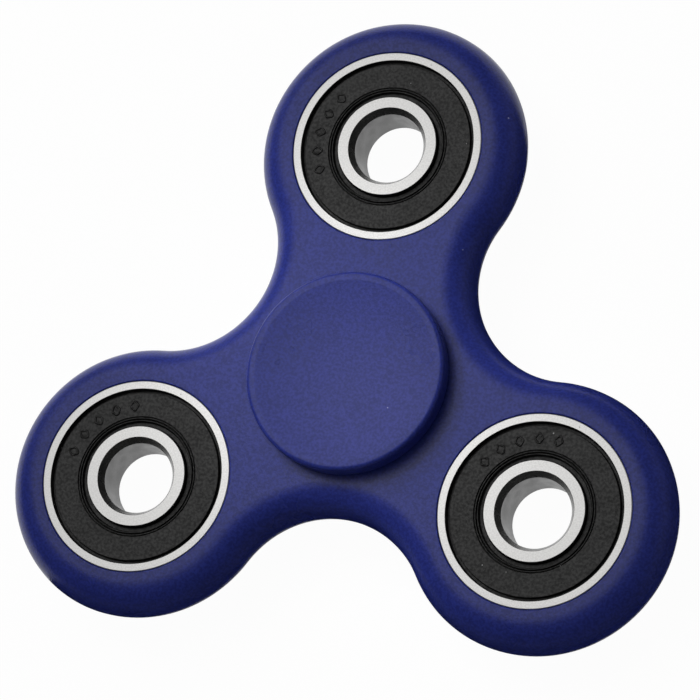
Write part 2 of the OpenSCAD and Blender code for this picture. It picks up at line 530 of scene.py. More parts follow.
def draw_specks(bench: Bench, given: dict[str, Socket]) -> dict[str, Socket]:
    """Builds scattered round specks, one in some cells of a grid and none in the others."""
    shrunk = shrink(bench, given["Vector"], given["Spacing"])
    cells = bench.add("ShaderNodeTexVoronoi", {"Vector": shrunk, "Scale": 1.0})
    lot = bench.add("ShaderNodeSeparateColor", {0: cells.outputs["Color"]})
    chosen = bench.math("LESS_THAN", lot.outputs[0], given["Share"])
    reach = bench.math("DIVIDE", given["Size"], given["Spacing"])
    reach = bench.math("MULTIPLY", reach, bench.math("ADD", 0.3, bench.math("MULTIPLY", lot.outputs[1], 0.4)))
    inside = bench.remap(cells.outputs["Distance"], bench.math("MULTIPLY", reach, 0.6), reach, 1.0, 0.0)
    return {"Mask": bench.math("MULTIPLY", chosen, inside)}


def draw_turning(bench: Bench, given: dict[str, Socket]) -> dict[str, Socket]:
    """Builds the fine rings that a lathe leaves, around the pattern's own upright axis."""
    apart = bench.add("ShaderNodeSeparateXYZ", {0: given["Vector"]})
    flat = bench.add("ShaderNodeCombineXYZ", {0: apart.outputs[0], 1: apart.outputs[1]})
    radius = bench.vector("LENGTH", {0: flat.outputs[0]}, "Value")
    reach = bench.math("DIVIDE", bench.math("ADD", radius, apart.outputs[2]), given["Pitch"])
    rings = bench.add("ShaderNodeTexNoise", {"W": reach, "Scale": 1.0, "Detail": 2.0}, noise_dimensions="1D")
    return {"Height": rings.outputs[0]}


def draw_smudge(bench: Bench, given: dict[str, Socket]) -> dict[str, Socket]:
    """Builds soft cloudy patches, as handling leaves."""
    shrunk = shrink(bench, given["Vector"], given["Size"])
    return {"Value": spread(bench, bench.noise(shrunk, scale=1.0, detail=3.0, roughness=0.55))}


MOULD_GRAIN = Effect("mould_grain", {"Vector": None, "Size": 0.2 * MM, "Contrast": 0.05}, ("Height", "Tone"),
                     draw_grain)
SPECKS = Effect("specks", {"Vector": None, "Size": 0.1 * MM, "Spacing": 1.0 * MM, "Share": 0.2}, ("Mask",),
                draw_specks)
TURNING = Effect("turning_marks", {"Vector": None, "Pitch": 0.05 * MM}, ("Height",), draw_turning)
SMUDGE = Effect("smudge", {"Vector": None, "Size": 8.0 * MM}, ("Value",), draw_smudge)


@dataclass(frozen=True)
class Scatter:
    """Specks scattered over a finish.

    Attributes:
        size: Width of the largest.
        spacing: Width of a cell of their grid.
        share: How many of the cells hold one, from 0 to 1.
        cover: How much of the colour below they hide, from 0 to 1.
        color: Their own colour.
    """

    size: float
    spacing: float
    share: float
    cover: float
    color: tuple[float, float, float]

    def mask(self, bench: Bench, place: Socket) -> Socket:
        """Gives 1 on a speck and 0 beside it."""
        return SPECKS.use(bench, Vector=place, Size=self.size, Spacing=self.spacing, Share=self.share)["Mask"]

    def over(self, bench: Bench, mask: Socket, below: Socket) -> Socket:
        """Lays the specks over a colour."""
        return bench.mix(bench.math("MULTIPLY", mask, self.cover), below, (*self.color, 1.0))


@dataclass(frozen=True)
class Finish:
    """What every finish shares: a Principled shader on the piece's own coordinates."""

    name: str
    color: tuple[float, float, float]
    roughness: float
    specular: float = 0.5
    metallic: float = 0.0

    def start(self, label: str = "", centre: Vector | None = None) -> tuple[bpy.types.Material, Bench,
                                                                           bpy.types.Node, Socket]:
        """Starts the material.

        Args:
            label: What to add to the finish's name.
            centre: Where the pattern's middle lies, or None for the origin.

        Returns:
            The material, its bench, its shader and the coordinates.
        """
        material = bpy.data.materials.new(f"{self.name}{label}")
        material.use_nodes = True
        material.diffuse_color = (*self.color, 1.0)
        bench = Bench(material.node_tree)
        shader = material.node_tree.nodes["Principled BSDF"]
        shader.inputs["Roughness"].default_value = self.roughness
        shader.inputs["Specular IOR Level"].default_value = self.specular
        shader.inputs["Metallic"].default_value = self.metallic
        place = bench.add("ShaderNodeTexCoord").outputs["Object"]
        if centre is not None:
            shift = (-centre.x, -centre.y, 0.0)
            place = bench.add("ShaderNodeMapping", {"Vector": place, "Location": shift}).outputs[0]
        return material, bench, shader, place

    def toned(self, bench: Bench, tone: Socket) -> Socket:
        """The finish's colour, lightened and darkened by a tone around 0."""
        factor = bench.math("ADD", 1.0, tone)
        return bench.vector("SCALE", {0: self.color, "Scale": factor})

    def roughen(self, bench: Bench, shader: bpy.types.Node, pattern: Socket, swing: float) -> None:
        """Lets a pattern vary the roughness by up to a swing."""
        rough = bench.math("ADD", self.roughness, bench.math("MULTIPLY", pattern, swing))
        bench.feed(shader.inputs["Roughness"], rough)

    def bump(self, bench: Bench, shader: bpy.types.Node, height: Socket, depth: float) -> None:
        """Adds relief to a shader.

        Args:
            bench: The material's bench.
            shader: Its shader.
            height: The relief, from 0 to 1.
            depth: The relief's full height.
        """
        node = bench.add("ShaderNodeBump", {"Height": height, "Distance": depth, "Strength": 1.0})
        bench.feed(shader.inputs["Normal"], node.outputs[0])


@dataclass(frozen=True)
class MouldedPlastic(Finish):
    """Coloured plastic from an eroded mould: fine grain, faint clouding and a little dust."""

    grain: float = 0.24 * MM
    grain_depth: float = 0.03 * MM
    contrast: float = 0.2
    cloud: float = 0.05
    cloud_size: float = 7.0 * MM
    swing: float = 0.03
    dust: Scatter = Scatter(0.16 * MM, 2.6 * MM, 0.22, 0.5, (0.45, 0.47, 0.55))

    def material(self) -> bpy.types.Material:
        """Makes the material."""
        material, bench, shader, place = self.start()
        grain = MOULD_GRAIN.use(bench, Vector=place, Size=self.grain, Contrast=self.contrast)
        cloud = SMUDGE.use(bench, Vector=place, Size=self.cloud_size)["Value"]
        tone = bench.math("ADD", grain["Tone"], bench.math("MULTIPLY", cloud, self.cloud))
        color = self.dust.over(bench, self.dust.mask(bench, place), self.toned(bench, tone))
        bench.feed(shader.inputs["Base Color"], color)
        self.roughen(bench, shader, cloud, self.swing)
        self.bump(bench, shader, grain["Height"], self.grain_depth)
        return material


@dataclass(frozen=True)
class GroundSteel(Finish):
    """Bearing steel with ground end faces: bright, finely speckled, with a few dark pits."""

    metallic: float = 1.0
    speckle: float = 0.14 * MM
    pitch: float = 0.09 * MM
    depth: float = 0.002 * MM
    contrast: float = 0.07
    ring_share: float = 0.4
    swing: float = 0.3
    pits: Scatter = Scatter(0.12 * MM, 0.9 * MM, 0.2, 0.55, (0.12, 0.12, 0.12))

    def material(self, label: str, centre: Vector) -> bpy.types.Material:
        """Makes the material for the bearing at a centre."""
        material, bench, shader, place = self.start(label, centre)
        grain = MOULD_GRAIN.use(bench, Vector=place, Size=self.speckle, Contrast=self.contrast)
        rings = TURNING.use(bench, Vector=place, Pitch=self.pitch)["Height"]
        pitted = self.pits.mask(bench, place)
        color = self.pits.over(bench, pitted, self.toned(bench, grain["Tone"]))
        bench.feed(shader.inputs["Base Color"], color)
        self.roughen(bench, shader, pitted, self.swing)
        relief = bench.math("ADD", bench.math("MULTIPLY", grain["Height"], 1 - self.ring_share),
                            bench.math("MULTIPLY", rings, self.ring_share))
        self.bump(bench, shader, relief, self.depth)
        return material


@dataclass(frozen=True)
class TurnedSteel(Finish):
    """Steel as the lathe left it: fine rings. The dark colours that FinishSet gives it are painted shade: in
    grooves and narrow walls, in the bore and on its chamfer.
    """

    metallic: float = 1.0
    grain: float = 0.15 * MM
    pitch: float = 0.07 * MM
    depth: float = 0.003 * MM
    contrast: float = 0.15
    cloud_size: float = 1.5 * MM
    swing: float = 0.06

    def material(self, label: str, centre: Vector) -> bpy.types.Material:
        """Makes the material for the bearing at a centre."""
        material, bench, shader, place = self.start(label, centre)
        rings = TURNING.use(bench, Vector=place, Pitch=self.pitch)["Height"]
        grain = MOULD_GRAIN.use(bench, Vector=place, Size=self.grain, Contrast=self.contrast)
        bench.feed(shader.inputs["Base Color"], self.toned(bench, grain["Tone"]))
        cloud = SMUDGE.use(bench, Vector=place, Size=self.cloud_size)["Value"]
        self.roughen(bench, shader, cloud, self.swing)
        self.bump(bench, shader, rings, self.depth)
        return material


@dataclass(frozen=True)
class MouldedRubber(Finish):
    """Black moulded rubber: matt, finely grained, with specks of dust."""

    grain: float = 0.26 * MM
    contrast: float = 1.0
    depth: float = 0.035 * MM
    cloud: float = 0.15
    cloud_size: float = 2.5 * MM
    swing: float = 0.05
    dust: Scatter = Scatter(0.13 * MM, 1.5 * MM, 0.16, 0.6, (0.5, 0.5, 0.5))

    def material(self) -> bpy.types.Material:
        """Makes the material."""
        material, bench, shader, place = self.start()
        grain = MOULD_GRAIN.use(bench, Vector=place, Size=self.grain, Contrast=self.contrast)
        cloud = SMUDGE.use(bench, Vector=place, Size=self.cloud_size)["Value"]
        tone = bench.math("ADD", grain["Tone"], bench.math("MULTIPLY", cloud, self.cloud))
        color = self.dust.over(bench, self.dust.mask(bench, place), self.toned(bench, tone))
        bench.feed(shader.inputs["Base Color"], color)
        self.roughen(bench, shader, cloud, self.swing)
        self.bump(bench, shader, grain["Height"], self.depth)
        return material


@dataclass(frozen=True)
class PressedSteel(Finish):
    """Rolled sheet and polished balls: smooth steel with faint oil clouding."""

    metallic: float = 1.0
    grain: float = 0.1 * MM
    depth: float = 0.0006 * MM
    cloud: float = 0.06
    cloud_size: float = 1.2 * MM
    swing: float = 0.05

    def material(self) -> bpy.types.Material:
        """Makes the material."""
        material, bench, shader, place = self.start()
        cloud = SMUDGE.use(bench, Vector=place, Size=self.cloud_size)["Value"]
        bench.feed(shader.inputs["Base Color"], self.toned(bench, bench.math("MULTIPLY", cloud, self.cloud)))
        self.roughen(bench, shader, cloud, self.swing)
        self.bump(bench, shader, MOULD_GRAIN.use(bench, Vector=place, Size=self.grain)["Height"], self.depth)
        return material


@dataclass(frozen=True)
class FinishSet:
    """Every finish of the spinner."""

    plastic: MouldedPlastic = MouldedPlastic("navy_plastic", (0.0165, 0.025, 0.175), 0.3, specular=0.25)
    ground: GroundSteel = GroundSteel("ground_steel", (0.68, 0.675, 0.665), 0.3)
    # Near-black: painted shade on the narrow turned walls and grooves between rings and seals.
    turned: TurnedSteel = TurnedSteel("turned_steel", (0.04, 0.04, 0.04), 0.42)
    # Dark: painted shade and painted dark reflection inside the bore.
    honed: TurnedSteel = TurnedSteel("honed_steel", (0.2, 0.2, 0.2), 0.42, metallic=0.6, contrast=0.06)
    # Dark: painted dark reflection on the bore's chamfer.
    bevel: TurnedSteel = TurnedSteel("bevelled_steel", (0.13, 0.13, 0.128), 0.26, contrast=0.1)
    rubber: MouldedRubber = MouldedRubber("black_rubber", (0.0092, 0.0092, 0.009), 0.5)
    sheet: PressedSteel = PressedSteel("pressed_steel", (0.55, 0.54, 0.52), 0.35)
    ball: PressedSteel = PressedSteel("ball_steel", (0.7, 0.7, 0.71), 0.12)


# ---------------------------------------------------------------- the frame


@dataclass
class SpinnerFrame:
    """The moulded three-lobed frame with its four bearing seats."""

    layout: Layout
    finish: bpy.types.Material
    waist_r: float = 15.5 * MM
    mouth_round: float = 0.16 * MM
    seat_fit: float = 0.01 * MM
    seam: float = 0.03 * MM
    seam_half: float = 0.09 * MM
    arc_step: float = 2.5
    fill_pitch: float = 1.3 * MM
    fill_clear: float = 0.35

    EDGE_STEP = 4.5
    SEAM_ANGLES = (3.4, 2.5, 1.7, 1.0, 0.4)
    MOUTH_STEPS = 4
    WELD = 1e-5

    @property
    def edge_r(self) -> float:
        """The outer edge is a full half round."""
        return self.layout.frame_half

    @property
    def hollow_r(self) -> float:
        """Radius of the hollows, which are tangent to the lobes on both sides."""
        half_step = math.pi / self.layout.lobes
        across = self.layout.arm * math.sin(half_step)
        rise = self.waist_r - self.layout.arm * math.cos(half_step)
        return (rise ** 2 + across ** 2 - self.layout.lobe_r ** 2) / (2 * (self.layout.lobe_r - rise))

    def hollow(self, lobe: int) -> Vector:
        """The middle of the hollow that follows lobe 1, 2 or 3."""
        return self.layout.spoke((lobe - 0.5) * 360 / self.layout.lobes, self.waist_r + self.hollow_r)

    def outline(self) -> list[tuple[Vector, Vector]]:
        """Walks the border of the flat face counterclockwise.

        Returns:
            Points with their outward normals, on the flat face's border.
        """
        walked: list[tuple[Vector, Vector]] = []
        flat_r, bend_r = self.layout.lobe_r - self.edge_r, self.hollow_r + self.edge_r
        for number in range(1, self.layout.lobes + 1):
            lobe, hollow = self.layout.station(number), self.hollow(number)
            spoke = math.radians(90 + (number - 1) * 360 / self.layout.lobes)
            half_lobe = math.remainder(math.atan2(hollow.y - lobe.y, hollow.x - lobe.x) - spoke, 2 * math.pi)
            steps = round(math.degrees(2 * half_lobe) / self.arc_step)
            for i in range(steps):
                angle = spoke - half_lobe + 2 * half_lobe * i / steps
                out = Vector((math.cos(angle), math.sin(angle)))
                walked.append((lobe + out * flat_r, out))
            inward = math.atan2(-hollow.y, -hollow.x)
            start = math.atan2(lobe.y - hollow.y, lobe.x - hollow.x)
            half_hollow = abs(math.remainder(start - inward, 2 * math.pi))
            steps = round(math.degrees(2 * half_hollow) / self.arc_step)
            for i in range(steps):
                angle = inward + half_hollow - 2 * half_hollow * i / steps
                out = Vector((math.cos(angle), math.sin(angle)))
                walked.append((hollow + out * bend_r, -out))
        return walked

    def edge_profile(self) -> list[Spot]:
        """Samples the half round edge from the front face to the back face.

        Returns:
            Spots whose radius is the distance out from the flat face's border.
        """
        angles = [90 - self.EDGE_STEP * i for i in range(round(90 / self.EDGE_STEP))]
        angles += self.SEAM_ANGLES
        corners = []
        for degrees in angles + [-a for a in reversed(angles)]:
            psi = math.radians(degrees)
            height = self.edge_r * math.sin(psi)
            proud = math.exp(-(height / self.seam_half) ** 2)
            reach = (self.edge_r - self.seam * (1 - proud)) * math.cos(psi)
            corners.append(Corner(reach, height))
        spots = [Spot(corners[0].r, corners[0].z, 0.0, 1.0, 0)]
        for before, corner, after in zip(corners, corners[1:], corners[2:]):
            along = Vector((after.r - before.r, after.z - before.z)).normalized()
            spots.append(Spot(corner.r, corner.z, -along.y, along.x, 0))
        spots.append(Spot(corners[-1].r, corners[-1].z, 0.0, -1.0, 0))
        return spots

    def inside_flat(self, place: Vector, margin: float) -> bool:
        """Whether a point is on the flat face, clear of its border and of the seats by a margin."""
        lobes = self.layout.lobes
        seat = self.layout.ring_r + self.mouth_round + margin
        stations = [Vector((0, 0))] + [self.layout.station(k + 1) for k in range(lobes)]
        if any((place - s).length < seat for s in stations):
            return False
        if any((place - s).length < self.layout.lobe_r - self.edge_r - margin for s in stations[1:]):
            return True
        hollows = [self.hollow(k + 1) for k in range(lobes)]
        if any((place - h).length < self.hollow_r + self.edge_r + margin for h in hollows):
            return False
        turn = math.degrees(math.atan2(place.y, place.x)) - 90
        nearest = round(turn / (360 / lobes)) * 360 / lobes
        corner_a = self.layout.spoke(nearest, self.layout.arm)
        side = 1 if math.remainder(turn - nearest, 360) > 0 else -1
        corner_b = self.layout.spoke(nearest + side * 180 / lobes, self.waist_r + self.hollow_r)
        return side * (corner_b - corner_a).cross(place - corner_a) > 0

    def build(self) -> bpy.types.Object:
        """Builds the frame.

        Returns:
            The finished piece.
        """
        piece = PieceMesh()
        border = self.outline()
        rows = []
        for spot in self.edge_profile():
            rows.append([piece.add_point((p.x + n.x * spot.r, p.y + n.y * spot.r, spot.z),
                                         (n.x * spot.nr, n.y * spot.nr, spot.nz)) for p, n in border])
        piece.add_strips(rows[::-1], [0] * len(rows), False)
        stations = [Vector((0, 0))] + [self.layout.station(k + 1) for k in range(self.layout.lobes)]
        mouths = [self._add_seat(piece, station) for station in stations]
        for side, rim in ((Side.FRONT, rows[0]), (Side.BACK, rows[-1])):
            loops = [rim] + [mouth[0 if side is Side.FRONT else 1] for mouth in mouths]
            self._add_flat(piece, loops, side)
        made = piece.to_object("frame_moulding", [self.finish])
        place_piece(made, "rotor", Slot.FRAME, "frame")
        return made

    def _add_seat(self, piece: PieceMesh, centre: Vector) -> tuple[list[int], list[int]]:
        """Adds a bearing seat with its rounded mouths.

        Args:
            piece: The mesh that gets it.
            centre: The seat's axis.

        Returns:
            The points of its front rim and of its back rim.
        """
        radius, half = self.layout.ring_r + self.seat_fit, self.layout.frame_half
        wide = radius + self.mouth_round
        quarter = [math.pi / 2 * i / self.MOUTH_STEPS for i in range(self.MOUTH_STEPS + 1)]
        upper = [Spot(wide - self.mouth_round * math.sin(a), half - self.mouth_round * (1 - math.cos(a)),
                      -math.sin(a), math.cos(a), 0) for a in quarter]
        lower = [Spot(s.r, -s.z, s.nr, -s.nz, 0) for s in reversed(upper)]
        rows = piece.add_rings(upper + lower, centre)
        piece.add_strips(rows, [0] * len(rows), False)
        return rows[0], rows[-1]

    def _add_flat(self, piece: PieceMesh, loops: Sequence[Sequence[int]], side: Side) -> None:
        """Fills a flat face between its border and the seats.

        Args:
            piece: The mesh that gets it.
            loops: The border and the seats' rims.
            side: The face's side.
        """
        numbers: list[int] = []
        edges: list[tuple[int, int]] = []
        for loop in loops:
            first = len(numbers)
            numbers += loop
            edges += [(first + i, first + (i + 1) % len(loop)) for i in range(len(loop))]
        for place in self._fill_points():
            numbers.append(piece.add_point((place.x, place.y, side * self.layout.frame_half), (0, 0, side)))
        flat = [Vector(piece.points[n][:2]) / MM for n in numbers]
        _, _, triangles, origins, _, _ = delaunay_2d_cdt(flat, edges, [], 0, self.WELD)
        for triangle in triangles:
            corners = [numbers[origins[v][0]] for v in triangle]
            middle = sum((Vector(piece.points[c][:2]) for c in corners), Vector((0, 0))) / 3
            if self.inside_flat(middle, 0.0):
                piece.add_face(corners if side is Side.FRONT else corners[::-1])

    def _fill_points(self) -> list[Vector]:
        """Points spread evenly over the flat face, so that its triangles are well shaped."""
        reach = self.layout.arm + self.layout.lobe_r
        rows = int(reach / (self.fill_pitch * math.sin(math.pi / 3)))
        columns = int(reach / self.fill_pitch)
        found = []
        for row in range(-rows, rows + 1):
            for column in range(-columns, columns + 1):
                place = Vector(((column + 0.5 * (row % 2)) * self.fill_pitch,
                                row * self.fill_pitch * math.sin(math.pi / 3)))
                if self.inside_flat(place, self.fill_clear * self.fill_pitch):
                    found.append(place)
        return found


# ---------------------------------------------------------------- the finger caps


@dataclass
class FingerCap:
    """A dished cap with the boss and stem that hold it to the centre bearing."""

    layout: Layout
    side: Side
    finish: bpy.types.Material
    gap: float = 0.35 * MM
    edge: float = 0.7 * MM
    land: float = 0.3 * MM
    dish: float = 0.75 * MM
    boss_r: float = 5.7 * MM
    stem_len: float = 3.2 * MM
    stem_fit: float = 0.01 * MM
    stem_tip: float = 0.4 * MM
    dish_steps: int = 20

    def section(self) -> Section:
        """The cap's half section, from the stem's tip round to the middle of the dish."""
        seat, top = self.layout.ring_half, self.layout.cap_top
        stem_r = self.layout.bore_r - self.stem_fit
        under = max(self.layout.frame_half, seat) + self.gap
        dish_r = self.layout.cap_r - self.edge - self.land
        ball = (dish_r ** 2 + self.dish ** 2) / (2 * self.dish)
        lip = math.asin(dish_r / ball)
        small = 0.1 * MM
        corners = [
            Corner(0.0, seat - self.stem_len),
            Corner(stem_r - self.stem_tip, seat - self.stem_len, small),
            Corner(stem_r, seat - self.stem_len + self.stem_tip, small),
            Corner(stem_r, seat, small),
            Corner(self.boss_r, seat, small),
            Corner(self.boss_r, under, small),
            Corner(self.layout.cap_r, under, 2 * small),
            Corner(self.layout.cap_r, top, self.edge),
            Corner(dish_r, top, 2 * self.land),
        ]
        for i in range(1, self.dish_steps + 1):
            lean = lip * (1 - i / self.dish_steps)
            corners.append(Corner(ball * math.sin(lean), top - self.dish + ball * (1 - math.cos(lean))))
        return Section(corners, closed=False)

    def build(self) -> bpy.types.Object:
        """Builds the cap.

        Returns:
            The finished piece.
        """
        piece = PieceMesh()
        piece.revolve(self.section(), Vector((0, 0)), self.side)
        made = piece.to_object(f"{self.side.word}_finger_cap", [self.finish])
        place_piece(made, "hub", Slot.CAP, f"{self.side.word}_cap")
        return made


# ---------------------------------------------------------------- the lobe bearings


@dataclass
class SealMarks:
    """A row of small raised lozenges on a seal, made by a geometry node tree."""

    start: float
    count: int = 5
    radius: float = 8.2 * MM
    sweep: float = 63.0
    width: float = 1.0 * MM
    length: float = 1.35 * MM
    line: float = 0.13 * MM

    TREE = "seal_marks"
    FILLET_LINES = 1.5
    FILLET_POINTS = 3
    WIRE_SIDES = 8

    def tree(self) -> bpy.types.NodeTree:
        """Builds the geometry node tree the first time.

        Returns:
            The tree, whose inputs are the marks' sizes.
        """
        if self.TREE in bpy.data.node_groups:
            return bpy.data.node_groups[self.TREE]
        tree = bpy.data.node_groups.new(self.TREE, "GeometryNodeTree")
        sockets = {"Count": "NodeSocketInt", "Centre": "NodeSocketVector", "Radius": "NodeSocketFloat",
                   "Start": "NodeSocketFloat", "Sweep": "NodeSocketFloat", "Width": "NodeSocketFloat",
                   "Length": "NodeSocketFloat", "Line": "NodeSocketFloat", "Material": "NodeSocketMaterial"}
        tree.interface.new_socket("Geometry", in_out="OUTPUT", socket_type="NodeSocketGeometry")
        for name, kind in sockets.items():
            tree.interface.new_socket(name, in_out="INPUT", socket_type=kind)
        bench = Bench(tree)
        given = bench.add("NodeGroupInput").outputs
        index = bench.add("GeometryNodeInputIndex").outputs[0]
        share = bench.math("DIVIDE", index, bench.math("SUBTRACT", given["Count"], 1.0))
        angle = bench.math("ADD", given["Start"], bench.math("MULTIPLY", given["Sweep"], share))
        spot = bench.add("ShaderNodeCombineXYZ", {
            0: bench.math("MULTIPLY", given["Radius"], bench.math("COSINE", angle)),
            1: bench.math("MULTIPLY", given["Radius"], bench.math("SINE", angle))})
        place = bench.vector("ADD", {0: spot.outputs[0], 1: given["Centre"]})
        points = bench.add("GeometryNodePoints", {"Count": given["Count"], "Position": place})
        lozenge = bench.add("GeometryNodeCurvePrimitiveQuadrilateral", mode="KITE")
        half = bench.math("MULTIPLY", given["Length"], 0.5)
        for name, value in (("Width", given["Width"]), ("Bottom Height", half), ("Top Height", half)):
            bench.feed(lozenge.inputs[name], value)
        soft = bench.add("GeometryNodeFilletCurve", {
            "Curve": lozenge.outputs[0],
            "Count": self.FILLET_POINTS,
            "Radius": bench.math("MULTIPLY", given["Line"], self.FILLET_LINES)}, mode="POLY")
        wire = bench.add("GeometryNodeCurvePrimitiveCircle", {
            "Resolution": self.WIRE_SIDES, "Radius": given["Line"]}, mode="RADIUS")
        mark = bench.add("GeometryNodeCurveToMesh", {"Curve": soft.outputs[0],
                                                     "Profile Curve": wire.outputs[0]})
        turn = bench.add("ShaderNodeCombineXYZ", {2: bench.math("SUBTRACT", angle, math.pi / 2)})
        copies = bench.add("GeometryNodeInstanceOnPoints", {"Points": points.outputs[0],
                                                            "Instance": mark.outputs[0],
                                                            "Rotation": turn.outputs[0]})
        real = bench.add("GeometryNodeRealizeInstances", {0: copies.outputs[0]})
        smooth = bench.add("GeometryNodeSetShadeSmooth", {"Geometry": real.outputs[0]})
        dressed = bench.add("GeometryNodeSetMaterial", {"Geometry": smooth.outputs[0],
                                                        "Material": given["Material"]})
        bench.add("NodeGroupOutput", {0: dressed.outputs[0]})
        return tree

    def build(self, name: str, centre: Vector, height: float, finish: bpy.types.Material) -> bpy.types.Object:
        """Builds the marks on one seal.

        Args:
            name: The piece's name.
            centre: The bearing's axis.
            height: Height of the seal's face.
            finish: The rubber.

        Returns:
            A plain mesh of all the marks.
        """
        tree = self.tree()
        holder = bpy.data.objects.new(f"{name}_points", bpy.data.meshes.new(f"{name}_points"))
        bpy.context.scene.collection.objects.link(holder)
        modifier = holder.modifiers.new("marks", "NODES")
        modifier.node_group = tree
        start, sweep = math.radians(self.start), math.radians(self.sweep)
        if height < 0:
            start, sweep = math.pi - start, -sweep
        values = {"Count": self.count, "Centre": (centre.x, centre.y, height), "Radius": self.radius,
                  "Start": start, "Sweep": sweep, "Width": self.width, "Length": self.length,
                  "Line": self.line, "Material": finish}
        for item in tree.interface.items_tree:
            if item.in_out == "INPUT":
                modifier[item.identifier] = values[item.name]
        graph = bpy.context.evaluated_depsgraph_get()
        mesh = bpy.data.meshes.new_from_object(holder.evaluated_get(graph))
        mesh.name = name
        bpy.data.objects.remove(holder)
        made = bpy.data.objects.new(name, mesh)
        bpy.context.scene.collection.objects.link(made)
        return made


